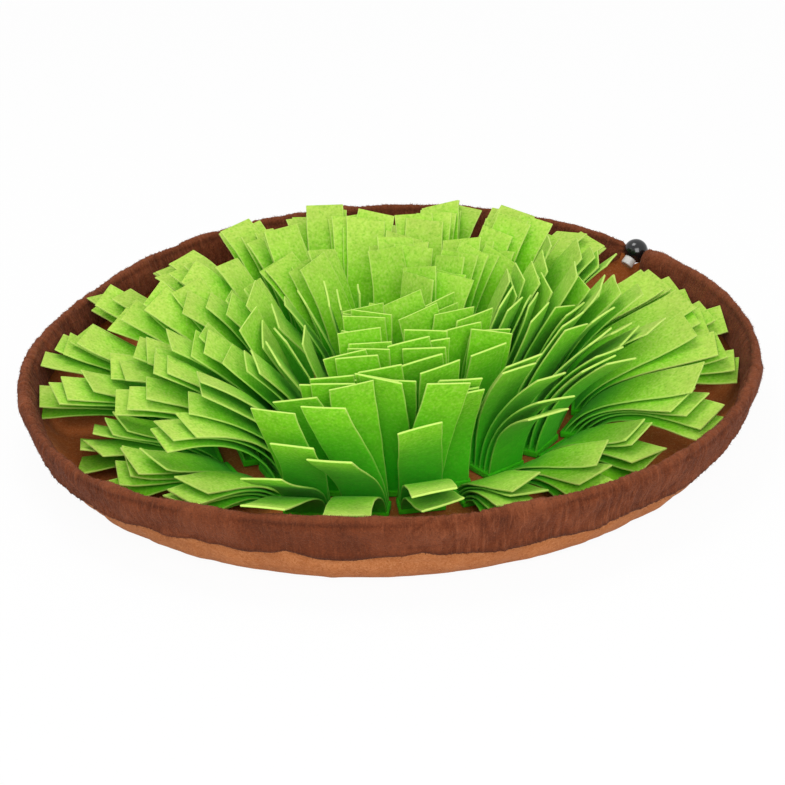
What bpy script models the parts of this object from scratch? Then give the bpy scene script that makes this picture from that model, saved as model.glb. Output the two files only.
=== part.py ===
"""Round snuffle mat: a shallow cloth dish with a drawstring casing and a sewn-in pile of felt strips.

Metres, +Z up. The origin is the middle of the underside, on the surface that the mat rests on.
Angles are in degrees round +Z, from +X; the cord lock sits in the casing's gap at 38 degrees.
"""

import math
import random
from collections import namedtuple

import bmesh
import bpy
from mathutils import Matrix, Vector
from mathutils.bvhtree import BVHTree

MM = 0.001
UP = Vector((0, 0, 1))

# ---- the cloth dish and its casing ----
AROUND = 60  # steps round the mat
SEAT = 0.3 * MM  # clearance between pieces that touch
CLOTH = 3.0 * MM  # thickness of the dish's cloth
BAND = 1.6 * MM  # thickness of the casing's plush

# The dish's outer face from the floor's edge up to the raw edge inside the casing.
DishRow = namedtuple("DishRow", "radius height")
DISH = (
    DishRow(196 * MM, 0 * MM),
    DishRow(201.5 * MM, 1.2 * MM),
    DishRow(208 * MM, 7.0 * MM),
    DishRow(212.5 * MM, 15.0 * MM),
    DishRow(216 * MM, 25.0 * MM),
    DishRow(218.5 * MM, 36.0 * MM),
)

# The casing's outer face: up the outside, over the fold and down the inside to its inner hem.
CasingRow = namedtuple("CasingRow", "radius height")
CASING = (
    CasingRow(217.1 * MM, 21.2 * MM),
    CasingRow(219.6 * MM, 29.0 * MM),
    CasingRow(223.0 * MM, 39.0 * MM),
    CasingRow(222.6 * MM, 44.5 * MM),
    CasingRow(219.8 * MM, 46.6 * MM),
    CasingRow(216.6 * MM, 44.5 * MM),
    CasingRow(213.4 * MM, 37.0 * MM),
    CasingRow(210.6 * MM, 27.0 * MM),
)
HEM_WAVES = ((5, 2.0 * MM, 40.0), (9, 1.2 * MM, 115.0))  # lobes, depth, phase of the outer hem's edge

# How the soft wall strays from a true circle, station by station.
WallRow = namedtuple("WallRow", "angle outward lift")
WALL = (
    WallRow(0, 3.0 * MM, 0.0 * MM),
    WallRow(22, -1.5 * MM, -0.5 * MM),
    WallRow(50, -2.5 * MM, -1.5 * MM),
    WallRow(72, 1.0 * MM, 1.0 * MM),
    WallRow(108, 1.5 * MM, 1.0 * MM),
    WallRow(132, -0.5 * MM, 0.0 * MM),
    WallRow(154, -4.5 * MM, -1.5 * MM),
    WallRow(180, 0.5 * MM, 0.0 * MM),
    WallRow(205, 3.5 * MM, -1.5 * MM),
    WallRow(222, 4.5 * MM, -2.0 * MM),
    WallRow(243, -0.5 * MM, 0.5 * MM),
    WallRow(264, -2.5 * MM, 2.0 * MM),
    WallRow(290, -0.5 * MM, 0.5 * MM),
    WallRow(318, 3.0 * MM, -1.5 * MM),
    WallRow(344, 4.5 * MM, -0.5 * MM),
)

# ---- the drawstring and its spring lock, in the casing's gap ----
GAP_AT = 38.2  # degrees
GAP_HALF = 2.9  # degrees each side
EDGE_DIP = 3.6 * MM  # how far the dish's raw edge sags under the lock
DIP_HALF = 16.0  # degrees each side that the sag takes
CORD_RADIUS = 1.1 * MM
CORD_RING = Vector((219.1 * MM, 42.2 * MM))  # radius and height of the cord inside the fold
BALL_RADIUS = 8.0 * MM
BALL_BORE = 1.6 * MM  # radius of the cord's way through the ball
WELL_RADIUS = 4.4 * MM  # the well that the button slides in
WELL_DEEP = -5.2 * MM  # its floor, along the button's axis from the ball's middle
BUTTON_RADIUS = 4.1 * MM
BUTTON_FOOT = -2.4 * MM  # its inner end, along its axis from the ball's middle
BUTTON_TOP = 12.0 * MM
BUTTON_TRAVEL = 2.5 * MM
BUTTON_SLOT = 1.5 * MM  # half the width of the button's own slot for the cord
BUTTON_TILT = 50.0  # degrees that the button's axis leans inwards from straight down

# ---- the felt strips ----
FELT = 1.4 * MM
STRIP_WIDE = 25.0 * MM
FOOT_HIGH = 4.0 * MM
FOOT_MARGIN = 1.0 * MM
FINE_STEPS = 16  # steps that a strip's bend is worked out in
SEED = 20
LEAN_STRAY = 4  # degrees, up or down, of each strip's tip
STRAYS = {"sway": (10, 6), "tilt": (6, 7), "twist": (9, 8), "curl": (10, 5)}  # degrees: a bundle's, a strip's own
CUT_SHORT, CUT_LONG = 0.93, 1.05  # shares of the ring's strip length
SKEW = 0.16  # most slant of a cut end, as a share of the width
CLEAR_SIDE = 0.5 * MM
CLEAR_FACE = 0.35 * MM
CLEAR_SOLID = 0.12 * MM
LIFT_STEP = 2.0  # degrees that a strip is raised at a time until it lies clear
LIFT_TRIES = 26

# Rings of bundles, in the order that their strips settle: strip length; strip to strip at the sewn foot; the
# share of the tip's lean that a strip already has at its root; how early it bends; how far its tip turns back
# towards level; how freely its strips differ; and which steps of its bend the solid keeps.
Ring = namedtuple("Ring", "length pitch root_share early level wild solid_steps")
RINGS = {
    "outer": Ring(91 * MM, 3.6 * MM, 0.34, 2.4, 16, 1.2, (0, 2, 5, 10, 16)),
    "front": Ring(68 * MM, 3.4 * MM, 0.44, 2.2, 14, 1.1, (0, 2, 5, 10, 16)),
    "apron": Ring(86 * MM, 3.0 * MM, 0.2, 1.8, 0, 1.2, (0, 3, 8, 16)),
    "rear": Ring(86 * MM, 4.2 * MM, 0.2, 1.8, 0, 1.0, (0, 3, 6, 10, 16)),
    "second": Ring(89 * MM, 4.4 * MM, 0.2, 1.8, 0, 1.2, (0, 3, 8, 16)),
    "third": Ring(83 * MM, 4.6 * MM, 0.2, 1.8, 0, 1.5, (0, 4, 9, 16)),
    "heart": Ring(80 * MM, 3.6 * MM, 0.2, 1.8, 0, 1.6, (0, 4, 9, 16)),
}

# One row a bundle: where its foot is sewn, the way its strips head, how many there are, how far the tips of
# its lowest and highest strip lean from upright, how far its strips fan round and how far they are twisted.
Bundle = namedtuple("Bundle", "ring x y heading strips low high fan twist")
BUNDLES = (
    Bundle("outer", -124, 8, 176, 5, 104, 90, -10, -4),
    Bundle("outer", -122, -27, 186, 6, 106, 90, 9, -4),
    Bundle("front", -113, -60, 194, 6, 110, 94, 11, 4),
    Bundle("front", -99, -88, 206, 5, 116, 100, 12, -8),
    Bundle("front", -76, -109, 220, 5, 118, 98, 14, 0),
    Bundle("outer", -49, -130, 262, 4, 88, 40, 0, 0),
    Bundle("outer", -16, -133, 262, 4, 78, 16, 0, 0),
    Bundle("outer", 15, -130, 276, 4, 98, 26, 0, 0),
    Bundle("front", 49, -122, 288, 5, 110, 86, 12, 0),
    Bundle("front", 77, -102, 306, 5, 116, 98, 12, 4),
    Bundle("front", 101, -78, 318, 5, 114, 98, 10, 6),
    Bundle("outer", 115, -47, 333, 5, 106, 90, 10, 8),
    Bundle("outer", 121, -16, 352, 5, 104, 88, 14, 14),
    Bundle("outer", 119, 15, 10, 5, 104, 86, 10, 12),
    Bundle("outer", 107, 44, 18, 4, 96, 80, 4, 8),
    Bundle("rear", 90, 82, 46, 4, 90, 76, -10, 0),
    Bundle("rear", 63, 101, 60, 5, 76, 54, -9, 0),
    Bundle("rear", 31, 115, 78, 6, 72, 54, 9, 0),
    Bundle("rear", -3, 116, 90, 5, 94, 80, 10, 0),
    Bundle("rear", -36, 112, 101, 5, 72, 52, -9, 0),
    Bundle("rear", -68, 100, 114, 5, 78, 58, 9, 0),
    Bundle("rear", -95, 77, 132, 5, 88, 68, 10, 0),
    Bundle("outer", -114, 43, 156, 5, 100, 84, 8, -4),
    Bundle("apron", -31, -107, 262, 5, 44, 26, 4, 0),
    Bundle("apron", -1, -110, 270, 5, 40, 20, -4, 0),
    Bundle("apron", 30, -104, 282, 5, 44, 26, 4, 0),
    Bundle("second", 60, -88, 306, 5, 56, 34, 6, 0),
    Bundle("second", 82, -62, 326, 6, 58, 34, 6, 0),
    Bundle("second", 93, -30, 342, 6, 58, 34, 8, 0),
    Bundle("second", 92, 1, 2, 6, 56, 32, 8, 0),
    Bundle("second", 81, 36, 22, 6, 54, 32, 8, 0),
    Bundle("second", 60, 66, 46, 6, 56, 34, -6, 0),
    Bundle("second", 25, 82, 74, 5, 76, 62, 0, 0),
    Bundle("second", -14, 82, 98, 5, 80, 62, 4, 0),
    Bundle("second", -50, 72, 124, 6, 66, 44, -6, 0),
    Bundle("second", -78, 44, 150, 6, 70, 46, 8, 0),
    Bundle("second", -93, 8, 172, 6, 76, 54, -6, -6),
    Bundle("second", -89, -28, 186, 6, 80, 56, 6, -4),
    Bundle("second", -81, -58, 194, 5, 82, 60, 0, -6),
    Bundle("second", -62, -85, 204, 6, 80, 56, -8, 0),
    Bundle("third", -40, -60, 192, 6, 46, 26, 6, 0),
    Bundle("apron", -11, -83, 264, 5, 20, 6, 0, 0),
    Bundle("apron", 20, -80, 276, 5, 20, 6, 4, 0),
    Bundle("third", 48, -56, 300, 5, 26, 12, 0, 0),
    Bundle("third", 62, -27, 334, 6, 40, 20, 6, 0),
    Bundle("third", 62, 6, 10, 6, 42, 22, 6, 0),
    Bundle("third", 40, 34, 46, 7, 58, 30, -6, 0),
    Bundle("third", 6.5, 46, 84, 7, 66, 24, 6, 0),
    Bundle("third", -27.6, 38, 124, 6, 66, 32, 0, 0),
    Bundle("third", -60, 8, 160, 6, 54, 32, 0, 0),
    Bundle("third", -58, -34, 188, 5, 60, 40, 0, 0),
    Bundle("heart", -10, -47, 262, 6, 8, -6, 0, 0),
    Bundle("heart", 27, -38, 290, 5, 12, -4, 0, 0),
    Bundle("heart", 24, 8, 50, 6, 50, 22, 0, 0),
    Bundle("heart", -22, -4, 186, 6, 42, 6, 0, 0),
)

COLOURS = {
    "tan velour": ((0.46, 0.17, 0.06), 0.95, 0.0),
    "brown plush": ((0.17, 0.045, 0.02), 0.95, 0.0),
    "green felt": ((0.27, 0.60, 0.05), 0.95, 0.0),
    "black cord": ((0.012, 0.011, 0.010), 0.8, 0.0),
    "black plastic": ((0.008, 0.008, 0.009), 0.25, 0.0),
    "pale plastic": ((0.62, 0.60, 0.58), 0.4, 0.0),
}


def clear_scene():
    for obj in list(bpy.data.objects):
        bpy.data.objects.remove(obj)


def material(name):
    found = bpy.data.materials.get(name)
    if found:
        return found
    colour, rough, metal = COLOURS[name]
    made = bpy.data.materials.new(name)
    made.use_nodes = True
    shader = made.node_tree.nodes["Principled BSDF"]
    shader.inputs["Base Color"].default_value = (*colour, 1)
    shader.inputs["Roughness"].default_value = rough
    shader.inputs["Metallic"].default_value = metal
    return made


def add_object(name, mesh, finish):
    obj = bpy.data.objects.new(name, mesh)
    bpy.context.scene.collection.objects.link(obj)
    mesh.materials.append(material(finish))
    return obj


def mesh_of(name, points, faces):
    mesh = bpy.data.meshes.new(name)
    mesh.from_pydata([tuple(p) for p in points], [], faces)
    mesh.validate()
    return mesh


def smooth(mesh, degrees):
    mesh.shade_smooth()
    mesh.set_sharp_from_angle(angle=math.radians(degrees))


def on_ring(angle, radius, height):
    """The point at that angle in degrees, radius and height."""
    a = math.radians(angle)
    return Vector((radius * math.cos(a), radius * math.sin(a), height))


# ---- the soft wall ----


def wall_stray(angle):
    """(outward, lift) of the wall at that angle: a smooth closed curve through the stations of WALL."""
    angle %= 360
    rows = [*WALL[-2:], *WALL, *WALL[:3]]
    at = [*(r.angle - 360 for r in WALL[-2:]), *(r.angle for r in WALL), *(r.angle + 360 for r in WALL[:3])]
    i = max(k for k in range(1, len(at) - 2) if at[k] <= angle)
    t = (angle - at[i]) / (at[i + 1] - at[i])
    found = []
    for column in ("outward", "lift"):
        a, b, c, d = (getattr(rows[i + k], column) for k in (-1, 0, 1, 2))
        found.append(
            0.5 * (2 * b + (c - a) * t + (2 * a - 5 * b + 4 * c - d) * t**2 + (3 * b - a - 3 * c + d) * t**3)
        )
    return found


def strayed(angle, radius, height):
    """A point of the wall, moved as the cloth strays there: nothing at the floor, all of it at the rim."""
    outward, lift = wall_stray(angle)
    share = min(1.0, max(0.0, height / (36 * MM)))
    share = share * share * (3 - 2 * share)
    reach = min(1.0, max(0.0, (radius - 0.15) / 0.05))
    return on_ring(angle, radius + outward * (0.45 * reach + 0.55 * share), height + lift * share)


def edge_dip(angle):
    away = abs((angle - GAP_AT + 180) % 360 - 180) / DIP_HALF
    return EDGE_DIP * math.cos(math.pi / 2 * away) ** 2 if away < 1 else 0.0


def hem_drop(angle):
    return sum(deep * math.sin(lobes * math.radians(angle + phase)) for lobes, deep, phase in HEM_WAVES)


def offset_rows(rows, distance):
    """The rows moved sideways off their own line by distance, to the line's left."""
    moved = []
    for i, row in enumerate(rows):
        before, after = rows[max(i - 1, 0)], rows[min(i + 1, len(rows) - 1)]
        line = Vector((after[0] - before[0], after[1] - before[1])).normalized()
        moved.append((row[0] - line.y * distance, row[1] + line.x * distance))
    return moved


def stations():
    """The casing's angles, from one side of its gap round to the other."""
    return [GAP_AT + GAP_HALF + (360 - 2 * GAP_HALF) * k / AROUND for k in range(AROUND + 1)]


def dish_cloth():
    """One sheet: a flat round floor turned up into a soft wall."""
    outer = [tuple(row) for row in DISH]
    inner = offset_rows(DISH, CLOTH)
    inner[0] = (DISH[0].radius, CLOTH)
    inner[-1] = (inner[-1][0], DISH[-1].height)
    section = [*outer, *reversed(inner)]
    top = DISH[-1].height
    slope = (DISH[-1].radius - DISH[-2].radius) / (top - DISH[-2].height)
    points, faces = [], []
    angles = [*stations(), GAP_AT + 360]
    for angle in angles:
        dip = edge_dip(angle)
        for radius, height in section:
            drop = dip if height == top else 0
            points.append(strayed(angle, radius - slope * drop, height - drop))
    n, around = len(section), len(angles)
    for k in range(around):
        a, b = k * n, (k + 1) % around * n
        faces += [(a + j, b + j, b + j + 1, a + j + 1) for j in range(n - 1)]
    faces.append([k * n for k in reversed(range(around))])
    faces.append([k * n + n - 1 for k in range(around)])
    mesh = mesh_of("dish_cloth", points, faces)
    smooth(mesh, 50)
    return add_object("dish_cloth", mesh, "tan velour")


def rim_casing():
    """The plush band folded over the dish's edge, open where the drawstring comes out."""
    inner = offset_rows(CASING, BAND)
    inner[0] = (inner[0][0], CASING[0].height)
    inner[-1] = (inner[-1][0], CASING[-1].height)
    section = [*((*row, 1.0 if i == 0 else 0.0) for i, row in enumerate(CASING))]
    section += [(*row, 1.0 if i == 0 else 0.0) for i, row in reversed(list(enumerate(inner)))]
    slope = (CASING[1].radius - CASING[0].radius) / (CASING[1].height - CASING[0].height)
    points, faces = [], []
    for angle in stations():
        wave = hem_drop(angle)
        points += [strayed(angle, radius + slope * hem * wave, height + hem * wave) for radius, height, hem in section]
    n = len(section)
    for k in range(AROUND):
        a, b = k * n, (k + 1) * n
        faces += [(a + j, b + j, b + (j + 1) % n, a + (j + 1) % n) for j in range(n)]
    faces.append(list(range(n)))
    faces.append([AROUND * n + j for j in reversed(range(n))])
    mesh = mesh_of("rim_casing", points, faces)
    smooth(mesh, 50)
    return add_object("rim_casing", mesh, "brown plush")


# ---- the drawstring and its lock ----


def drawstring():
    """The cord: round inside the casing's fold, across its gap and through the lock, closed on itself."""
    sides, angles = 6, [*stations(), GAP_AT + 360]
    points, faces = [], []
    for angle in angles:
        centre, out = strayed(angle, *CORD_RING), on_ring(angle, 1, 0)
        for j in range(sides):
            a = 2 * math.pi * j / sides
            points.append(centre + (out * math.cos(a) + UP * math.sin(a)) * CORD_RADIUS)
    for k in range(len(angles)):
        a, b = k * sides, (k + 1) % len(angles) * sides
        faces += [(a + (j + 1) % sides, a + j, b + j, b + (j + 1) % sides) for j in range(sides)]
    mesh = mesh_of("drawstring", points, faces)
    smooth(mesh, 70)
    return add_object("drawstring", mesh, "black cord")


def lock_frame():
    """The lock's own axes: X along the cord, Z along the button, outwards; its middle on the cord."""
    out = on_ring(GAP_AT, 1, 0)
    along = Vector((-out.y, out.x, 0))
    tilt = math.radians(BUTTON_TILT)
    button = -out * math.sin(tilt) - UP * math.cos(tilt)
    side = button.cross(along)
    turned = Matrix((along, side, button)).transposed().to_4x4()
    return Matrix.Translation(strayed(GAP_AT, *CORD_RING)) @ turned


def turned_body(name, rows, around, finish):
    """A body of revolution round its own Z, closed at both ends; rows of radius and height."""
    points, faces = [], []
    for radius, height in rows:
        for k in range(around):
            a = 2 * math.pi * k / around
            points.append((radius * math.cos(a), radius * math.sin(a), height))
    for i in range(len(rows) - 1):
        a, b = i * around, (i + 1) * around
        faces += [(a + k, a + (k + 1) % around, b + (k + 1) % around, b + k) for k in range(around)]
    faces.append(list(reversed(range(around))))
    faces.append([(len(rows) - 1) * around + k for k in range(around)])
    return add_object(name, mesh_of(name, points, faces), finish)


def cut(target, cutters):
    """Takes the cutters out of the target and drops them."""
    for cutter in cutters:
        taken = target.modifiers.new("cut", "BOOLEAN")
        taken.operation = "DIFFERENCE"
        taken.solver = "EXACT"
        taken.object = cutter
    bpy.context.view_layer.update()
    whole = bpy.data.meshes.new_from_object(target.evaluated_get(bpy.context.evaluated_depsgraph_get()))
    target.modifiers.clear()
    target.data = whole
    for cutter in cutters:
        bpy.data.objects.remove(cutter)


def rod(name, radius, low, high, around=16, along_x=False, stretch=0.0):
    """A plain cylinder for cutting; stretch lengthens its round section into a slot along Z."""
    points, faces = [], []
    for end in (low, high):
        for k in range(around):
            a = 2 * math.pi * (k + 0.5) / around
            u, v = radius * math.cos(a), radius * math.sin(a)
            v += stretch if v > 0 else 0
            points.append((end, u, v) if along_x else (u, v, end))
    faces += [(k, (k + 1) % around, around + (k + 1) % around, around + k) for k in range(around)]
    faces.append(list(reversed(range(around))))
    faces.append([around + k for k in range(around)])
    return add_object(name, mesh_of(name, points, faces), "black plastic")


def cord_lock():
    """A ball with a way through it for the cord, and a sprung button in a well across that way."""
    frame = lock_frame()
    arc = [math.radians(-90 + 180 * (i + 0.5) / 12) for i in range(12)]
    ball = turned_body(
        "lock_barrel", [(BALL_RADIUS * math.cos(a), BALL_RADIUS * math.sin(a)) for a in arc], 24, "black plastic"
    )
    well = rod("well", WELL_RADIUS, WELL_DEEP, 2 * BALL_RADIUS, 24)
    way = rod("way", BALL_BORE, -2 * BALL_RADIUS, 2 * BALL_RADIUS, 16, along_x=True)
    cut(ball, (well, way))
    smooth(ball.data, 40)
    edge, r = 0.7 * MM, BUTTON_RADIUS
    rows = ((r, BUTTON_FOOT), (r, BUTTON_TOP - edge), (r - 0.3 * edge, BUTTON_TOP - 0.3 * edge), (r - edge, BUTTON_TOP))
    button = turned_body("lock_button", rows, 24, "pale plastic")
    slot = rod("slot", BUTTON_SLOT, -2 * r, 2 * r, 16, along_x=True, stretch=BUTTON_TRAVEL)
    cut(button, (slot,))
    smooth(button.data, 40)
    ball.matrix_world = frame
    button.matrix_world = frame
    return ball, button


# ---- the felt strips ----


def strip_line(root, heading, lean_root, lean_tip, length, early, sway, tilt, twist, curl):
    """A strip's centre points, each with its direction across and its direction along."""
    points, step = [], length / FINE_STEPS
    place = Vector(root)
    for i in range(FINE_STEPS + 1):
        s = i / FINE_STEPS
        lean = math.radians(lean_root + (lean_tip - lean_root) * (1 - (1 - s) ** early) + curl * s**3)
        ease = s * s * (3 - 2 * s)
        turn = math.radians(heading + sway * ease)
        slope = math.radians(tilt * min(1, 4 * s))
        out = Vector((math.cos(turn), math.sin(turn), 0))
        level = Vector((-out.y, out.x, 0))
        along = out * math.sin(lean) + UP * math.cos(lean)
        across = Matrix.Rotation(math.radians(twist * ease), 3, along) @ level
        across, along = (
            across * math.cos(slope) - along * math.sin(slope),
            along * math.cos(slope) + across * math.sin(slope),
        )
        points.append((place.copy(), across, along))
        place += along * step
    return points


def strip_rings(line, wide, thick, skew):
    """Rings of four corners along a strip; skew slants its cut end."""
    rings = []
    for i, (centre, across, along) in enumerate(line):
        face = across.cross(along)
        slant = along * (skew * wide) if i == len(line) - 1 else Vector()
        rings.append(
            [
                centre + (across * wide + slant) * side / 2 + face * thick * depth / 2
                for side, depth in ((-1, -1), (1, -1), (1, 1), (-1, 1))
            ]
        )
    return rings


def tube(rings):
    """Points and faces of a closed four-sided body through the rings; both wide sides split the same way."""
    points = [p for ring in rings for p in ring]
    faces = [(0, 1, 2, 3)]
    for k in range(len(rings) - 1):
        a, b = 4 * k, 4 * k + 4
        faces += [(a + 1, a, b + 1), (a, b, b + 1), (a + 3, a + 2, b + 2), (a + 3, b + 2, b + 3)]
        faces += [(a + 2, a + 1, b + 1, b + 2), (a, a + 3, b + 3, b)]
    last = len(points) - 4
    faces.append((last + 3, last + 2, last + 1, last))
    return points, faces


def tree_of(points, faces):
    return BVHTree.FromPolygons([tuple(p) for p in points], faces)


def plan_strips(walls):
    """Works out every strip, layer by layer from the lowest, and raises each until it lies clear of the rest.

    Returns {bundle number: [(line, skew, tries), ...]}."""
    rng = random.Random(SEED)
    held = [tree_of([v.co for v in w.data.vertices], [tuple(p.vertices) for p in w.data.polygons]) for w in walls]
    fine, solid = list(held), list(held)
    plan = {i: [] for i in range(len(BUNDLES))}
    for ring_name in RINGS:
        members = [(i, b) for i, b in enumerate(BUNDLES) if b.ring == ring_name]
        for layer in range(max(b.strips for _, b in members)):
            for number, bundle in members:
                if layer >= bundle.strips:
                    continue
                found = place_strip(bundle, layer, rng, fine, solid)
                if found:
                    plan[number].append(found)
    return plan


def foot_of(bundle):
    """The middle of a bundle's foot, and the way its strips head."""
    height = CLOTH + SEAT + FOOT_HIGH / 2
    return Vector((bundle.x * MM, bundle.y * MM, height)), on_ring(bundle.heading, 1, 0)


def clashes(rings, placed):
    guard = tree_of(*tube(rings))
    return any(guard.overlap(other) for other in placed)


def place_strip(bundle, layer, rng, fine, solid):
    ring = RINGS[bundle.ring]
    share = layer / max(bundle.strips - 1, 1)
    foot, out = foot_of(bundle)
    root = foot - out * ((share - 0.5) * (bundle.strips - 1) * ring.pitch)
    lean_tip = bundle.low + (bundle.high - bundle.low) * share + rng.uniform(-LEAN_STRAY, LEAN_STRAY)
    lean_root = ring.root_share * (bundle.low + (bundle.high - bundle.low) * share)
    common = random.Random(SEED + int(bundle.x * 7 + bundle.y))

    def stray(kind):
        together, apart = STRAYS[kind]
        return common.uniform(-together, together) + ring.wild * rng.uniform(-apart, apart)

    sway = bundle.fan * (share - 0.5) * 2 + stray("sway")
    tilt = stray("tilt")
    twist = bundle.twist + stray("twist")
    curl = stray("curl") - ring.level
    length = ring.length * rng.uniform(CUT_SHORT, CUT_LONG)
    skew = rng.uniform(-SKEW, SKEW)
    for tries in range(LIFT_TRIES):
        lift = LIFT_STEP * tries
        line = strip_line(
            root, bundle.heading, lean_root, lean_tip - lift, length, ring.early, sway, tilt, twist, curl
        )
        kept = [line[i] for i in ring.solid_steps]
        if clashes(strip_rings(line[1:], STRIP_WIDE + 2 * CLEAR_SIDE, FELT + 2 * CLEAR_FACE, skew), fine):
            continue
        if clashes(strip_rings(kept, STRIP_WIDE + 2 * CLEAR_SIDE, FELT + 2 * CLEAR_SOLID, skew), solid):
            continue
        fine.append(tree_of(*tube(strip_rings(line, STRIP_WIDE, FELT, skew))))
        solid.append(tree_of(*tube(strip_rings(kept, STRIP_WIDE, FELT, skew))))
        return kept, skew, tries
    return None


def felt_bundle(number, strips):
    """A stack of felt strips fanned out of one sewn foot."""
    bundle = BUNDLES[number]
    deep = (bundle.strips - 1) * RINGS[bundle.ring].pitch + FELT + 2 * FOOT_MARGIN
    foot = bmesh.new()
    bmesh.ops.create_cube(foot, size=1)
    bmesh.ops.scale(foot, vec=(deep, STRIP_WIDE + 2 * FOOT_MARGIN, FOOT_HIGH), verts=foot.verts)
    centre, _ = foot_of(bundle)
    place = Matrix.Translation(centre) @ Matrix.Rotation(math.radians(bundle.heading), 4, "Z")
    bmesh.ops.transform(foot, matrix=place, verts=foot.verts)
    name = f"felt_bundle_{number + 1:02d}"
    mesh = bpy.data.meshes.new(name)
    foot.to_mesh(mesh)
    foot.free()
    obj = add_object(name, mesh, "green felt")
    points, faces = [], []
    for line, skew, _ in strips:
        more, sides = tube(strip_rings(line, STRIP_WIDE, FELT, skew))
        faces += [tuple(len(points) + j for j in side) for side in sides]
        points += more
    fan = bpy.data.objects.new(name + "_fan", mesh_of(name + "_fan", points, faces))
    bpy.context.scene.collection.objects.link(fan)
    join = obj.modifiers.new("strips", "BOOLEAN")
    join.operation = "UNION"
    join.object = fan
    join.use_self = True
    bpy.context.view_layer.update()
    whole = bpy.data.meshes.new_from_object(obj.evaluated_get(bpy.context.evaluated_depsgraph_get()))
    obj.modifiers.clear()
    obj.data = whole
    bpy.data.objects.remove(fan)
    return obj


def main():
    clear_scene()
    dish = dish_cloth()
    casing = rim_casing()
    drawstring()
    cord_lock()
    plan = plan_strips((dish, casing))
    for number, strips in plan.items():
        felt_bundle(number, strips)
    return plan


PLAN = main()
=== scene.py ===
import random
from math import cos, degrees, pi, radians, sin, sqrt

import bmesh
import bpy
import numpy as np
from mathutils import Matrix, Vector
from mathutils.bvhtree import BVHTree
from mathutils.kdtree import KDTree


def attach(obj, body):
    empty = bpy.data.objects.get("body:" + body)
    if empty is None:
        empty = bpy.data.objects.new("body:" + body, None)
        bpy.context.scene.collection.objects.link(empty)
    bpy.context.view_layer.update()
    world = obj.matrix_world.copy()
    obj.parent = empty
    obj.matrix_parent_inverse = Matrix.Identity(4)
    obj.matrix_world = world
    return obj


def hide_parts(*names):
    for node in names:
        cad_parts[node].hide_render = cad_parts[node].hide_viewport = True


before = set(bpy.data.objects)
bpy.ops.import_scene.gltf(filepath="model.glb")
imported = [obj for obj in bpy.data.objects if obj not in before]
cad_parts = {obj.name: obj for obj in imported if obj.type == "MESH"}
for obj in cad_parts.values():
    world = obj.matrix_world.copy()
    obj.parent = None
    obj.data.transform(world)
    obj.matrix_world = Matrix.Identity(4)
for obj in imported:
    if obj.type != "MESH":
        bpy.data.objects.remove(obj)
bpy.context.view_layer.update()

mm = 0.001
scene = bpy.context.scene
up = Vector((0, 0, 1))

# the camera comes first: a little above the rim, in front of the mat
cameraSettings = {
    "place": (0.0, -1.1732, 0.6051),
    "aim": (0.0020, -0.0672, 0.045),
    "roll": -2.715,  # degrees
    "lens": 97.055,  # mm on a 36 mm sensor
}


def makeCamera(settings):
    camera = bpy.data.objects.new("matCamera", bpy.data.cameras.new("matCamera"))
    scene.collection.objects.link(camera)
    place, aim = Vector(settings["place"]), Vector(settings["aim"])
    turn = (aim - place).to_track_quat("-Z", "Y").to_matrix().to_4x4()
    roll = Matrix.Rotation(radians(settings["roll"]), 4, "Z")
    camera.matrix_world = Matrix.Translation(place) @ turn @ roll
    camera.data.sensor_width = 36
    camera.data.lens = settings["lens"]
    camera.data.clip_start, camera.data.clip_end = 0.05, 30
    scene.camera = camera


makeCamera(cameraSettings)
print("camera set")


# small helpers for meshes
def newPiece(name, points, faces, material, attributes=None, smooth=None):
    mesh = bpy.data.meshes.new(name)
    mesh.from_pydata([tuple(p) for p in points], [], faces)
    mesh.update()
    for key, values in (attributes or {}).items():
        layer = mesh.attributes.new(key, "FLOAT", "POINT")
        layer.data.foreach_set("value", np.asarray(values, np.float32))
    mesh.materials.append(material)
    if smooth is not None:
        mesh.shade_smooth()
        if smooth < 180:
            mesh.set_sharp_from_angle(angle=radians(smooth))
    piece = bpy.data.objects.new(name, mesh)
    scene.collection.objects.link(piece)
    return piece


# quads of a grid stored station by station, rows points in each
def gridFaces(around, rows, closedAround=True, closedRows=False):
    faces = []
    last = rows if closedRows else rows - 1
    for k in range(around if closedAround else around - 1):
        a, b = k * rows, (k + 1) % around * rows
        faces += [(a + j, b + j, b + (j + 1) % rows, a + (j + 1) % rows) for j in range(last)]
    return faces


# the same for a bar with closed rows and a cap at each end
def barFaces(stations, rows):
    faces = gridFaces(stations, rows, closedAround=False, closedRows=True)
    return [*faces, list(range(rows)), [(stations - 1) * rows + j for j in reversed(range(rows))]]


# a place on the smooth curve from b to c, whose neighbours are a and d
def curvePlace(a, b, c, d, t):
    return 0.5 * (2 * b + (c - a) * t + (2 * a - 5 * b + 4 * c - d) * t**2 + (3 * b - a - 3 * c + d) * t**3)


def eased(share):
    return share * share * (3 - 2 * share)


def clamped(share):
    return np.clip(share, 0, 1)


# 1 at the middle, dying away to both sides over about the width
def bell(values, middle, wide):
    return np.exp(-((values - middle) / wide) ** 2)


# points on a smooth curve through the rows, perSpan steps from each row to the next
def softCurve(rows, perSpan):
    rows = [np.asarray(r, float) for r in rows]
    path = [2 * rows[0] - rows[1], *rows, 2 * rows[-1] - rows[-2]]
    out = []
    for i in range(1, len(path) - 2):
        out += [curvePlace(*path[i - 1 : i + 3], k / perSpan) for k in range(perSpan)]
    return [*out, rows[-1]]


# the way that a line of rows runs at each of them
def rowWays(rows):
    ways = []
    for i in range(len(rows)):
        way = np.array(rows[min(i + 1, len(rows) - 1)], float) - np.array(rows[max(i - 1, 0)], float)
        ways.append(way / np.linalg.norm(way))
    return ways


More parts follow.
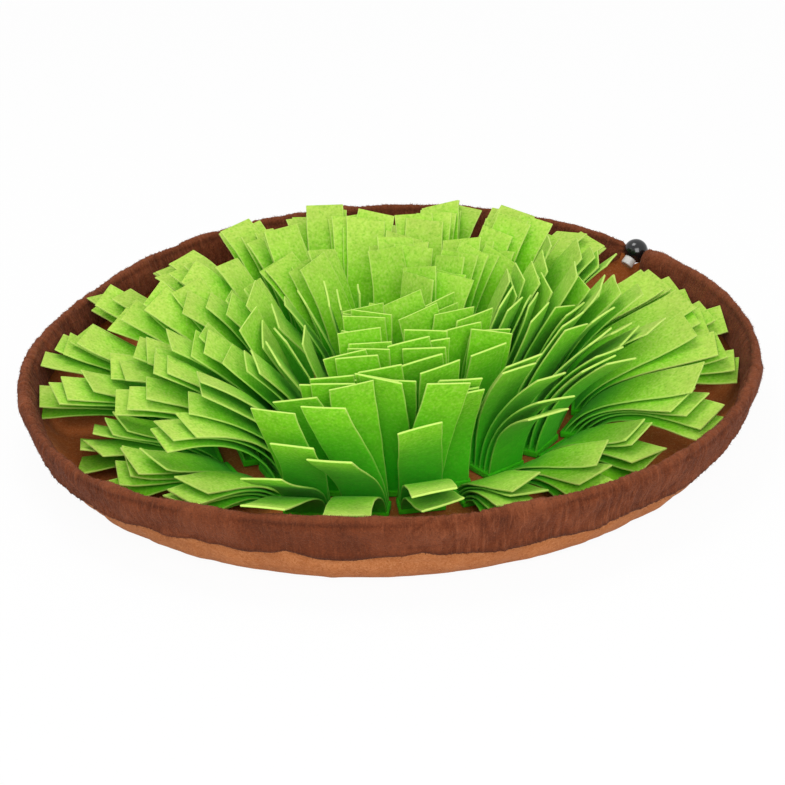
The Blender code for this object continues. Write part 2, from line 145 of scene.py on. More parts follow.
# a cloth's outer face in metres, and its inner face off to the left of it, ending level with it
def clothFaces(table, thick):
    outer = [(r * mm, h * mm) for r, h in table]
    inner = [(r - way[1] * thick, h + way[0] * thick) for (r, h), way in zip(outer, rowWays(outer))]
    inner[-1] = (inner[-1][0], outer[-1][1])
    return outer, inner


def columns(rows):
    return (np.array(column, float) for column in zip(*rows))


def onRing(angle, radius, height):
    a = radians(angle)
    return Vector((radius * cos(a), radius * sin(a), height))


# a closed wavy line round the mat: a sum of lobes with seeded phases, leaning with height
def ripples(angles, heights, lobes, seed, lean=0.0):
    rng = random.Random(seed)
    total = np.zeros(np.broadcast(angles, heights).shape)
    for count in lobes:
        phase, skew = rng.uniform(0, 2 * pi), rng.uniform(-lean, lean)
        total += np.sin(count * np.radians(angles) + phase + skew * heights / (10 * mm))
    return total / sqrt(len(lobes))


# soft random unevenness over a band of cloth: so many cells round the mat, each cellLong down the path
# across the band, slanted by lean
def unevenness(angles, path, cells, cellLong, seed, lean=0.0):
    rows = 24
    lattice = np.random.default_rng(seed).uniform(-1, 1, (cells, rows))
    u = (angles / 360 + lean * path / rim["round"]) * cells
    v = path / cellLong
    i, j = np.floor(u).astype(int), np.floor(v).astype(int)
    s, t = eased(u - i), eased(v - j)
    low = lattice[i % cells, j % rows] * (1 - s) + lattice[(i + 1) % cells, j % rows] * s
    high = lattice[i % cells, (j + 1) % rows] * (1 - s) + lattice[(i + 1) % cells, (j + 1) % rows] * s
    return low * (1 - t) + high * t


# the rim as a whole: the length round it and of one degree, the wall's height, the middle of the fold's
# section, and how a stray of the wall dies away towards the floor
rim = {
    "round": 2 * pi * 0.22,
    "perDegree": 3.83 * mm,
    "wallHigh": 36 * mm,
    "foldMiddle": (0.2195, 34 * mm),
    "stillInside": 0.15,
    "stillOver": 0.05,
    "lowShare": 0.45,
}
# the soft wall's path: angle in degrees, then how far it strays outwards and upwards in mm
wallRows = [
    (0, 3.0, 0.0), (22, -1.5, -0.5), (50, -2.5, -1.5), (72, 1.0, 1.0), (108, 1.5, 1.0),
    (132, -0.5, 0.0), (154, -4.5, -1.5), (180, 0.5, 0.0), (205, 3.5, -1.5), (222, 4.5, -2.0),
    (243, -0.5, 0.5), (264, -2.5, 2.0), (290, -0.5, 0.5), (318, 3.0, -1.5), (344, 4.5, -0.5),
]


def wallStray(angle):
    at = [r[0] for r in wallRows]
    at = [at[-2] - 360, at[-1] - 360, *at, at[0] + 360, at[1] + 360, at[2] + 360]
    rows = [*wallRows[-2:], *wallRows, *wallRows[:3]]
    angle %= 360
    i = max(k for k in range(1, len(at) - 2) if at[k] <= angle)
    t = (angle - at[i]) / (at[i + 1] - at[i])
    return [curvePlace(*(row[column] * mm for row in rows[i - 1 : i + 3]), t) for column in (1, 2)]


# moves points given as angle, radius and height to where the soft wall really runs
def strayed(angles, radii, heights):
    angles, radii, heights = np.broadcast_arrays(np.asarray(angles, float), radii, heights)
    flat, where = np.unique(angles, return_inverse=True)
    stray = np.array([wallStray(a) for a in flat])[where.ravel()].reshape(*angles.shape, 2)
    share = eased(clamped(heights / rim["wallHigh"]))
    reach = clamped((radii - rim["stillInside"]) / rim["stillOver"])
    radius = radii + stray[..., 0] * (rim["lowShare"] * reach + (1 - rim["lowShare"]) * share)
    turn = np.radians(angles)
    return np.stack([radius * np.cos(turn), radius * np.sin(turn), heights + stray[..., 1] * share], axis=-1)


# a node group with number sockets: the group, its two ends and the place on the piece
def newGroup(name, inputs, outputs):
    group = bpy.data.node_groups.new(name, "ShaderNodeTree")
    for label, value in inputs.items():
        socket = group.interface.new_socket(name=label, in_out="INPUT", socket_type="NodeSocketFloat")
        socket.default_value = value
    for label in outputs:
        group.interface.new_socket(name=label, in_out="OUTPUT", socket_type="NodeSocketFloat")
    place = addNode(group, "ShaderNodeTexCoord").outputs["Object"]
    return group, group.nodes.new("NodeGroupInput").outputs, group.nodes.new("NodeGroupOutput"), place


# sets a node's inputs: a socket is linked, any other value is set
def feed(tree, node, values):
    for key, value in values.items():
        if hasattr(value, "is_output"):
            tree.links.new(value, node.inputs[key])
        else:
            node.inputs[key].default_value = value


def addNode(tree, kind, values=None, **settings):
    node = tree.nodes.new(kind)
    for key, value in settings.items():
        setattr(node, key, value)
    feed(tree, node, values or {})
    return node


def mathNode(tree, operation, *values):
    return addNode(tree, "ShaderNodeMath", dict(enumerate(values)), operation=operation).outputs[0]


def mixColour(tree, share, first, second, blend="MIX"):
    values = {0: share, 6: first, 7: second}
    return addNode(tree, "ShaderNodeMix", values, data_type="RGBA", blend_type=blend).outputs[2]


# lays colours over a face, each as strong as its socket times a strength
def layColours(tree, face, layers):
    for socket, strength, colour in layers:
        face = mixColour(tree, mathNode(tree, "MULTIPLY", socket, strength), face, colour)
    return face


# the value's range from low to high becomes newLow to newHigh
def rangeNode(tree, value, low, high, newLow=0.0, newHigh=1.0):
    values = dict(enumerate((value, low, high, newLow, newHigh)))
    return addNode(tree, "ShaderNodeMapRange", values).outputs[0]


def noiseNode(tree, place, scale, detail, bend=0.0, rough=0.5):
    values = {"Vector": place, "Scale": scale, "Detail": detail, "Roughness": rough, "Distortion": bend}
    return addNode(tree, "ShaderNodeTexNoise", values).outputs["Fac"]


# matted fibres: a fine height for bump and a soft mottle for colour
def fibreMatGroup():
    inputs = {"Fibre size mm": 0.5, "Mottle size mm": 4.0}
    group, start, end, place = newGroup("fibreMat", inputs, ("Height", "Mottle", "Fleck", "Pit"))
    fine, broad = (mathNode(group, "DIVIDE", 1000.0, start[size]) for size in inputs)
    fibres = noiseNode(group, place, fine, 3.0, 1.2)
    mottle = noiseNode(group, place, broad, 3.0, 0.6)
    clumps = noiseNode(group, place, mathNode(group, "MULTIPLY", fine, 0.45), 2.0)
    feed(group, end, {
        "Height": mathNode(group, "MULTIPLY_ADD", clumps, 0.7, fibres),
        "Mottle": rangeNode(group, mottle, 0.3, 0.7),
        "Fleck": rangeNode(group, clumps, 0.50, 0.70),
        "Pit": rangeNode(group, clumps, 0.46, 0.28),
    })
    return group


# short pile lying in brushed patches: a height for bump, and where the pile turns light or dark
def brushedPileGroup():
    inputs = {"Pile size mm": 0.6, "Patch size mm": 14.0}
    group, start, end, place = newGroup("brushedPile", inputs, ("Height", "Patch", "Tip", "Pit"))
    fine, broad = (mathNode(group, "DIVIDE", 1000.0, start[size]) for size in inputs)
    patch = noiseNode(group, place, broad, 4.0, 0.8, 0.6)
    grain = noiseNode(group, place, fine, 2.0, 1.5)
    tuft = addNode(group, "ShaderNodeTexVoronoi", {"Vector": place, "Scale": fine, "Randomness": 1.0})
    deep = mathNode(group, "MULTIPLY", tuft.outputs["Distance"], 0.6)
    feed(group, end, {
        "Height": mathNode(group, "SUBTRACT", grain, deep),
        "Patch": rangeNode(group, patch, 0.32, 0.68),
        "Tip": rangeNode(group, grain, 0.50, 0.72),
        "Pit": rangeNode(group, grain, 0.46, 0.28),
    })
    return group


# faint handling marks on moulded plastic
def plasticWearGroup():
    inputs = {"Base roughness": 0.2}
    group, start, end, place = newGroup("plasticWear", inputs, ("Roughness", "Height", "Dust"))
    smear = noiseNode(group, place, 260.0, 3.0, 0.5)
    rough = mathNode(group, "MULTIPLY_ADD", smear, 0.16, start["Base roughness"])
    feed(group, end, {
        "Roughness": mathNode(group, "SUBTRACT", rough, 0.06),
        "Height": noiseNode(group, place, 1900.0, 2.0),
        "Dust": rangeNode(group, smear, 0.5, 0.75),
    })
    return group


fibreMat, brushedPile, plasticWear = fibreMatGroup(), brushedPileGroup(), plasticWearGroup()


def newMaterial(name, roughness, sheen=0.0, sheenTint=(1, 1, 1), sheenRoughness=0.5):
    made = bpy.data.materials.new(name)
    made.use_nodes = True
    shader = made.node_tree.nodes["Principled BSDF"]
    feed(made.node_tree, shader, {
        "Roughness": roughness,
        "Specular IOR Level": 0.25,
        "Sheen Weight": sheen,
        "Sheen Roughness": sheenRoughness,
        "Sheen Tint": (*sheenTint, 1),
    })
    return made, made.node_tree, shader


def useGroup(tree, group, **values):
    named = {key.replace("_", " "): value for key, value in values.items()}
    return addNode(tree, "ShaderNodeGroup", named, node_tree=group)


def bumpFrom(tree, shader, height, strength, distance):
    values = {"Strength": strength, "Distance": distance, "Height": height}
    feed(tree, shader, {"Normal": addNode(tree, "ShaderNodeBump", values).outputs["Normal"]})


def attribute(tree, name):
    return addNode(tree, "ShaderNodeAttribute", attribute_name=name).outputs["Fac"]


# the lime felt: painted shade makes it deep green where the pile closes over it and towards its roots,
# painted light makes it paler where it lies open, and a painted highlight runs along its cut edges
feltLook = {
    "tipShare": 0.34,  # how much a place counts as open for lying near its strip's tip
    "halfSpan": (0.03, 0.34),  # how open a place is where the half colour starts and is reached
    "openSpan": (0.38, 0.86),  # the same for the open colour
    # the deep and the half green are painted shade, the open green is the painted lit colour; flecks and pits
    # are the felt's grain
    "deepShadeGreen": (0.016, 0.520, 0.001, 1),
    "halfShadeGreen": (0.235, 0.670, 0.013, 1),
    "openLitGreen": (0.455, 0.665, 0.088, 1),
    # the painted highlight on the cut edges
    "edgeHighlightGreen": (0.580, 0.780, 0.170, 1),
    "fleckColour": (0.570, 0.760, 0.160, 1),
    "pitColour": (0.090, 0.440, 0.004, 1),
    "bump": 0.45,
}


def feltMaterial(look):
    made, tree, shader = newMaterial("limeFelt", 0.95, 0.08, (0.75, 1.0, 0.35), 0.45)
    mat = useGroup(tree, fibreMat, Fibre_size_mm=0.75, Mottle_size_mm=5.0)
    # how open a place is for the painted light and shade: the sky it sees, and more towards the strip's tip
    tipward = mathNode(tree, "POWER", attribute(tree, "alongStrip"), 1.8)
    tipward = mathNode(tree, "MULTIPLY", tipward, look["tipShare"])
    paintedLightShare = mathNode(tree, "MULTIPLY_ADD", attribute(tree, "skyShare"), 1 - look["tipShare"], tipward)
    half = rangeNode(tree, paintedLightShare, *look["halfSpan"])
    face = mixColour(tree, half, look["deepShadeGreen"], look["halfShadeGreen"])
    # the open green is painted light; the pale flecks are grain, faded out where the shade is painted deep
    face = layColours(tree, face, [
        (rangeNode(tree, paintedLightShare, *look["openSpan"]), 1.0, look["openLitGreen"]),
        (mat.outputs["Fleck"], rangeNode(tree, paintedLightShare, 0.05, 0.6, 0.03, 0.50), look["fleckColour"]),
        (mat.outputs["Pit"], 0.45, look["pitColour"]),
    ])
    shade = mathNode(tree, "MULTIPLY_ADD", mat.outputs["Mottle"], 0.14, 0.90)
    shade = mathNode(tree, "MULTIPLY_ADD", attribute(tree, "stripTint"), 0.06, shade)
    grey = addNode(tree, "ShaderNodeCombineColor", {0: shade, 1: shade, 2: shade})
    face = mixColour(tree, 1.0, face, grey.outputs[0], "MULTIPLY")
    # a painted highlight along the cut edges, stronger where the felt is painted lit
    edge = rangeNode(tree, paintedLightShare, 0.02, 0.4, 0.15, 0.8)
    face = layColours(tree, face, [(attribute(tree, "cutEdge"), edge, look["edgeHighlightGreen"])])
    feed(tree, shader, {"Base Color": face})
    bumpFrom(tree, shader, mat.outputs["Height"], look["bump"], 0.35 * mm)
    return made


# a pile cloth: its pile and its mottled face, evened out by a share
def pileFace(tree, look, even, **sizes):
    pile = useGroup(tree, brushedPile, **sizes).outputs
    face = mixColour(tree, pile["Patch"], look["deepColour"], look["faceColour"])
    return pile, mixColour(tree, even, face, look["faceColour"])


# the plush: deepColour serves both the pile's dark pits and the painted shade in its troughs, tipColour both
# the pile's light tips and the painted highlights on crests, ridge and gathers
plushLook = {
    # the painted shadow along the hem
    "hemShadowColour": (0.045, 0.010, 0.003, 1),
    "deepColour": (0.060, 0.012, 0.003, 1),
    "faceColour": (0.155, 0.034, 0.009, 1),
    "tipColour": (0.310, 0.092, 0.036, 1),
    "streakWide": 1.5,  # mm round the rim
    "streakLong": 11.0,  # mm across the band
    "bump": 0.9,
}


def plushMaterial(look):
    made, tree, shader = newMaterial("brownPlush", 0.95, 0.12, (1.0, 0.45, 0.28), 0.35)
    pile, face = pileFace(tree, look, 0.55, Pile_size_mm=1.3, Patch_size_mm=13.0)
    # fine light streaks run across the band, strongest where it is gathered: a painted highlight on the fine
    # gathers, whose relief the bump also gives
    turn = mathNode(tree, "DIVIDE", attribute(tree, "turnMm"), look["streakWide"])
    down = mathNode(tree, "DIVIDE", attribute(tree, "pathMm"), look["streakLong"])
    spot = addNode(tree, "ShaderNodeCombineXYZ", {0: turn, 1: down}).outputs[0]
    streak = rangeNode(tree, noiseNode(tree, spot, 1.0, 2.5, 0.8), 0.50, 0.74)
    gathered = rangeNode(tree, attribute(tree, "gathered"), 0.0, 1.0, 0.12, 0.6)
    # painted light and shade on the folds: lighter on crests, darker in troughs
    paintedFoldShading = attribute(tree, "paintedFoldShading")
    face = layColours(tree, face, [
        (rangeNode(tree, paintedFoldShading, 0.1, 0.5, 0.65, 0.0), 1.0, look["deepColour"]),
        (rangeNode(tree, paintedFoldShading, 0.5, 1.0, 0.0, 0.5), 1.0, look["tipColour"]),
        # a painted highlight along the fold's top
        (attribute(tree, "ridgeHighlight"), 0.30, look["tipColour"]),
        (streak, gathered, look["tipColour"]),
        (pile["Tip"], 0.30, look["tipColour"]),
        (pile["Pit"], 0.45, look["deepColour"]),
        # a painted shadow along the hem
        (attribute(tree, "hemShadow"), 0.8, look["hemShadowColour"]),
    ])
    feed(tree, shader, {"Base Color": face})
    height = mathNode(tree, "MULTIPLY_ADD", streak, 0.8, pile["Height"])
    bumpFrom(tree, shader, height, look["bump"], 0.6 * mm)
    return made


velourLook = {
    "deepColour": (0.300, 0.086, 0.020, 1),
    "faceColour": (0.490, 0.178, 0.058, 1),
    "tipColour": (0.620, 0.290, 0.135, 1),
    # the same velour inside the dish, in a painted darker, redder shade
    "insideShadeColour": (0.440, 0.110, 0.018, 1),
    "bump": 0.5,
}


def velourMaterial(look):
    made, tree, shader = newMaterial("tanVelour", 0.95, 0.12, (1.0, 0.62, 0.40), 0.35)
    pile, face = pileFace(tree, look, 0.45, Pile_size_mm=1.5, Patch_size_mm=11.0)
    # the inside of the dish is painted in a darker, redder shade
    face = mixColour(tree, attribute(tree, "inside"), face, look["insideShadeColour"])
    layers = [(pile["Tip"], 0.45, look["tipColour"]), (pile["Pit"], 0.80, look["deepColour"])]
    feed(tree, shader, {"Base Color": layColours(tree, face, layers)})
    bumpFrom(tree, shader, pile["Height"], look["bump"], 0.4 * mm)
    return made


cordLook = {"deepColour": (0.004, 0.004, 0.004, 1), "strandColour": (0.022, 0.020, 0.019, 1)}


def cordMaterial(look):
    made, tree, shader = newMaterial("blackCord", 0.75, 0.2, (0.8, 0.8, 0.85), 0.4)
    uv = addNode(tree, "ShaderNodeTexCoord").outputs["UV"]
    strands = []
    for angle in (42, -42):
        values = {"Vector": uv, "Rotation": (0, 0, radians(angle))}
        turned = addNode(tree, "ShaderNodeMapping", values).outputs[0]
        strands.append(addNode(tree, "ShaderNodeTexWave", {"Vector": turned, "Scale": 260.0}).outputs["Fac"])
    braid = mathNode(tree, "MAXIMUM", *strands)
    feed(tree, shader, {"Base Color": mixColour(tree, braid, look["deepColour"], look["strandColour"])})
    bumpFrom(tree, shader, braid, 0.8, 0.25 * mm)
    return made


def plasticMaterial(name, colour, dusty, roughness, coat):
    made, tree, shader = newMaterial(name, roughness)
    wear = useGroup(tree, plasticWear, Base_roughness=roughness)
    share = mathNode(tree, "MULTIPLY", wear.outputs["Dust"], 0.5)
    feed(tree, shader, {
        "Specular IOR Level": 0.5,
        "Coat Weight": coat,
        "Coat Roughness": 0.08,
        "Base Color": mixColour(tree, share, colour, dusty),
        "Roughness": wear.outputs["Roughness"],
    })
    bumpFrom(tree, shader, wear.outputs["Height"], 0.06, 0.1 * mm)
    return made


felt, plush = feltMaterial(feltLook), plushMaterial(plushLook)
velour, cord = velourMaterial(velourLook), cordMaterial(cordLook)
blackPlastic = plasticMaterial("blackPlastic", (0.007, 0.007, 0.008, 1), (0.016, 0.016, 0.017, 1), 0.16, 0.6)
palePlastic = plasticMaterial("palePlastic", (0.66, 0.63, 0.60, 1), (0.56, 0.53, 0.49, 1), 0.38, 0.15)
print("materials made")


# the lock sits in the casing's opening, at this angle, on the drawstring
gapAt, gapHalf = 38.2, 2.9
drawCord = {"radius": 1.1 * mm, "ring": (219.1 * mm, 42.2 * mm), "around": 720, "sides": 14}

# the dish: tan cloth, a flat round floor turned up into a soft wall
dish = {
    "cloth": 3.0 * mm,
    "outerFace": [(196, 0), (201.5, 1.2), (208, 7), (212.5, 15), (216, 25), (218.5, 36)],
    # the raw edge sags under the lock and rises beside it: rise, degrees off, half its width
    "edgeRows": [(-3.1 * mm, 0.0, 0.86), (3.0 * mm, 2.9, 0.8)],
    "edgeBand": 12 * mm,  # how deep below the edge that is felt
    "floorRings": [0.012, 0.03, 0.05, 0.07, 0.09, 0.11, 0.13, 0.15, 0.165, 0.18, 0.19],
    "around": 520,
    "spanSteps": 5,
    "nearLock": (0.2, 5, 25),  # finer stations there: first and last degree, how many
    "wallWave": 0.9 * mm,
    "waveFoot": 4 * mm,  # the wall's low folds grow over this height, and fade out towards the casing
    "waveTop": 19 * mm,
    "waveFade": 5 * mm,
    "floorWave": 0.5 * mm,
}


def makeDish(dish):
    coarse, inside = clothFaces(dish["outerFace"], dish["cloth"])
    inside[0] = (coarse[0][0], dish["cloth"])
    outer, inner = softCurve(coarse, dish["spanSteps"]), softCurve(inside, dish["spanSteps"])
    top = coarse[-1][1]
    slope = (coarse[-1][0] - coarse[-2][0]) / (top - coarse[-2][1])
    # the section: radius, height and part: 0 under the floor, 1 outside, 2 inside, 3 on the floor
    section = [(r, 0.0, 0) for r in dish["floorRings"]]
    section += [(r, h, 1) for r, h in outer] + [(r, h, 2) for r, h in reversed(inner)]
    section += [(r, dish["cloth"], 3) for r in reversed(dish["floorRings"])]
    nearLock = np.linspace(*dish["nearLock"])
    even = np.arange(dish["around"]) * 360 / dish["around"]
    turns = np.unique(np.round(np.concatenate([even, nearLock, 360 - nearLock]), 4))
    around, n = len(turns), len(section)
    angles = (gapAt + turns)[:, None]
    radius, height, part = columns(section)
    away = np.abs((angles - gapAt + 180) % 360 - 180)
    rise = sum(high * bell(away, off, half) for high, off, half in dish["edgeRows"])
    near = clamped((height - (top - dish["edgeBand"])) / dish["edgeBand"])
    radius, height = radius + slope * rise * near, height + rise * near
    fade = clamped(height / dish["waveFoot"]) * clamped((dish["waveTop"] - height) / dish["waveFade"])
    wave = dish["wallWave"] * ripples(angles, height, (7, 12, 19, 31, 47), 3, 1.2)
    wave += 0.35 * dish["wallWave"] * ripples(angles, height, (61, 83, 118), 4, 2.0)
    points = strayed(angles, radius + wave * fade * (part < 3), height).reshape(-1, 3)
    # the floor only ever sinks
    x, y = points[:, 0], points[:, 1]
    soft = ripples(x * 1100, y, (3, 5, 8), 5, 0.4) * ripples(y * 1300, x, (4, 6, 9), 6, 0.4)
    points[:, 2] -= np.where(np.tile(part == 3, around), dish["floorWave"] * clamped(soft + 0.5), 0)
    faces = gridFaces(around, n)
    points = [*points, (0, 0, 0), (0, 0, dish["cloth"])]
    bottom, floor = around * n, around * n + 1
    for k in range(around):
        a, b = k * n, (k + 1) % around * n
        faces += [(a, bottom, b), (a + n - 1, b + n - 1, floor)]
    # the inside faces, where the velour is painted in a darker, redder shade
    inside = [*np.tile(part >= 2, around), 0.0, 1.0]
    piece = newPiece("dish", points, faces, velour, {"inside": inside}, smooth=60)
    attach(piece, "root")
    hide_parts("dish_cloth")
    return piece


dishPiece = makeDish(dish)
print("dish made")

# the rim: a plush band folded over the dish's edge, gathered on its drawstring; sizes along its section
# run from the outer hem, over the fold and down the inner side
casing = {
    "band": 1.6 * mm,
    "outerFace": [
        (217.1, 21.2), (219.6, 29), (223, 39), (222.6, 44.5), (219.8, 46.6), (216.6, 44.5), (213.4, 37),
        (210.6, 27),
    ],
    "spanSteps": 5,
    "topRow": 20,  # the row of the outer face that lies highest
    "hemWaves": [(5, 2.0 * mm, 40.0), (9, 1.2 * mm, 115.0)],
    "hemWander": 0.9 * mm,
    "hemRoll": 0.7 * mm,
    "hemRollAt": (1.3 * mm, 1.6 * mm),  # its middle and width, from the hem
    # how far up from the hem the painted shadow reaches
    "hemShade": 2.4 * mm,
    "ridgeWide": 6 * mm,
    "around": 1500,
    "lump": 0.9 * mm,
    "gather": 0.85 * mm,
    "crease": 0.9 * mm,
    "roll": 0.75 * mm,  # how deep the grooves under the fold's rolled top are
    "grooves": (-5.2 * mm, 5.6 * mm),  # where they run, from the top
    "grooveWide": 1.3 * mm,
    "endReach": 1.7 * mm,
    "endRound": 6.0 * mm,
    "innerFrom": (4.4, 1.2),  # where the side towards the dish starts in the table, and over how much
    "fatEnd": 4.2 * mm,  # how far the right-hand end bulges towards the dish
    "fatAt": (10 * mm, 11 * mm),
    "fatSag": 5.0 * mm,
    "slimEnd": 0.5,  # how much of its section the left-hand end loses towards the cord
    "slimOver": 24 * mm,
    "slimMost": 0.78,
}
# angle, how far the outer hem rides up in mm, and how strongly the band is gathered there
hemRows = [
    (0, 0, 0.5), (60, 0, 0.5), (130, 0, 0.7), (195, 0, 0.8), (218, 1.0, 0.7), (230, 3.0, 0.6),
    (238, 3.6, 0.45), (243, 1.6, 0.35), (249, 0.4, 0.2), (254, 2.4, 0.3), (259, -2.1, 0.2), (264, -1.9, 0.15),
    (269, 0.1, 0.3), (273.5, 1.9, 0.5), (278, 0.2, 1.0), (284, -1.7, 0.9), (290, -1.3, 0.7), (296, -1.2, 0.9),
    (301, -2.2, 1.0), (306, 0.3, 0.8), (315, 0.4, 0.6), (330, 0, 0.5), (360, 0, 0.5),
]
hemAt, hemUp, hemGather = columns(hemRows)


def hemRise(angles):
    turn = angles % 360
    waves = sum(deep * np.sin(lobes * np.radians(angles + at)) for lobes, deep, at in casing["hemWaves"])
    inFront = clamped(np.minimum(turn - 218, 315 - turn) / 12)
    wander = casing["hemWander"] * unevenness(angles, 0 * angles, 90, 1.0, 51)
    return waves * (1 - 0.75 * inFront) + np.interp(turn, hemAt, hemUp) * mm + wander


# the band's section row by row: radius, height, place in the table, outward direction, and if it shows
def casingSection(coarse, outer, inner):
    section = []
    for rows, shows in ((outer, 1), (inner[::-1], 0)):
        for i, (row, way) in enumerate(zip(rows, rowWays(rows))):
            place = i / casing["spanSteps"] if shows else len(coarse) - 1 - i
            section.append((*row, place, (way[1], -way[0]), shows))
    return columns(section)


# soft lumps, crests drawn up by the string, slanting creases, and grooves under the rolled top
def plushRelief(angles, path, top, gathered):
    lump = unevenness(angles, path, 64, 15 * mm, 43, 0.5)
    lump = lump + 0.6 * unevenness(angles, path, 150, 9 * mm, 45, -0.4)
    crests = 1 - np.abs(unevenness(angles, path, 400, 26 * mm, 41, 0.12)) / 0.42
    crests = np.maximum(crests, 0.8 - np.abs(unevenness(angles, path, 520, 17 * mm, 42, -0.25)) / 0.42)
    crests = clamped(crests) * gathered
    creases = clamped(1 - np.abs(unevenness(angles, path, 84, 12 * mm, 44, -1.6)) / 0.14)
    creases = creases * clamped(unevenness(angles, path, 30, 30 * mm, 46) * 3 + 0.4) * (1 - 0.5 * gathered)
    grooves = sum(bell(path - top, side, casing["grooveWide"]) for side in casing["grooves"])
    grooves = grooves * clamped(0.55 + unevenness(angles, 0 * path, 40, 1.0, 47))
    return lump, crests, creases, grooves


def makeCasing(casing):
    coarse, inside = clothFaces(casing["outerFace"], casing["band"])
    inside[0] = (inside[0][0], coarse[0][1])
    outer, inner = softCurve(coarse, casing["spanSteps"]), softCurve(inside, 1)
    slope = (coarse[1][0] - coarse[0][0]) / (coarse[1][1] - coarse[0][1])
    radius, height, place, outward, shows = casingSection(coarse, outer, inner)
    steps = np.hypot(np.diff(radius), np.diff(height))
    path = np.interp(place, place[: len(outer)], np.concatenate([[0], np.cumsum(steps)])[: len(outer)])
    n, stations = len(place), casing["around"] + 1
    reach = degrees(casing["endReach"] / coarse[2][0])
    first, last = gapAt + gapHalf - reach, gapAt + 360 - gapHalf + reach
    angles = np.linspace(first, last, stations)[:, None]
    top, atHem = path[casing["topRow"]], clamped(1 - place)
    rise = hemRise(angles)
    gathered = np.interp(angles % 360, hemAt, hemGather)
    lump, crests, creases, grooves = plushRelief(angles, path, top, gathered)
    lift = casing["lump"] * lump + casing["gather"] * (crests - 0.3 * gathered)
    lift = lift - casing["crease"] * creases - casing["roll"] * grooves
    fromLeft, fromRight = (angles - angles[0]) * rim["perDegree"], (angles[-1] - angles) * rim["perDegree"]
    innerAt, innerOver = casing["innerFrom"]
    fat = bell(fromRight, *casing["fatAt"])
    out = lift * shows + casing["fatEnd"] * fat * clamped((place - innerAt) / innerOver)
    out = out + casing["hemRoll"] * bell(path, *casing["hemRollAt"]) * shows
    radius = radius + slope * atHem * rise + out * outward[:, 0]
    height = height + atHem * rise + out * outward[:, 1] - casing["fatSag"] * fat * clamped(place - 5.5)
    # the ends close in on the cord, the left one further back
    left = casing["slimEnd"] * clamped(1 - fromLeft / casing["slimOver"]) ** 1.5
    close = 1 - np.sqrt(1 - clamped(1 - np.minimum(fromLeft, fromRight) / casing["endRound"]) ** 2)
    slim = np.clip(left + 0.5 * close, 0, casing["slimMost"])
    radius = radius + (drawCord["ring"][0] - radius) * slim
    height = height + (drawCord["ring"][1] - height) * slim
    points = strayed(angles, radius, height)
    # painted light and shade on the folds: lighter on crests and lumps, darker in creases and in the grooves
    # under the rolled top, and a little darker overall where the band is gathered
    paintedFoldValue = 0.5 + 0.5 * (crests - 0.35 * gathered) + 0.2 * lump - 0.5 * creases - 0.45 * grooves
    looks = {
        # where the painted highlight along the fold's top lies
        "ridgeHighlight": clamped(1 - np.abs(path - top) / casing["ridgeWide"]),
        "paintedFoldShading": clamped(paintedFoldValue),
        "gathered": gathered,
        # where the painted shadow along the hem lies
        "hemShadow": clamped(1.1 - path / casing["hemShade"]),
        "turnMm": angles * rim["perDegree"] / mm,
        "pathMm": path / mm,
    }
    looks = {key: np.broadcast_to(values, (stations, n)) for key, values in looks.items()}
    looksFlat = {key: values.ravel() for key, values in looks.items()}
    piece = newPiece("rimCasing", points.reshape(-1, 3), barFaces(stations, n), plush, looksFlat, smooth=70)
    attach(piece, "root")
    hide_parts("rim_casing")
    shown = slice(0, len(outer))
    return piece, makePile(pile, points[:, shown], {key: values[:, shown] for key, values in looks.items()})


def unitOf(vectors):
    return vectors / np.maximum(np.linalg.norm(vectors, axis=1, keepdims=True), 1e-12)


# the plush's short pile: thin closed spikes strewn over the side that shows, brushed roughly one way
pile = {
    "seed": 31,
    "count": 16000,
    "long": (1.1 * mm, 2.1 * mm),
    "wide": 0.30 * mm,
    "sunk": 0.2 * mm,
    "stand": 0.42,
    "upBand": (-0.55, 0.35),  # how far the brush lies up the band and along it: middle and spread
    "alongBand": (0.25, 0.45),
    "paler": (0.12, 0.25),  # how much paler than the cloth it stands on: middle and spread
}


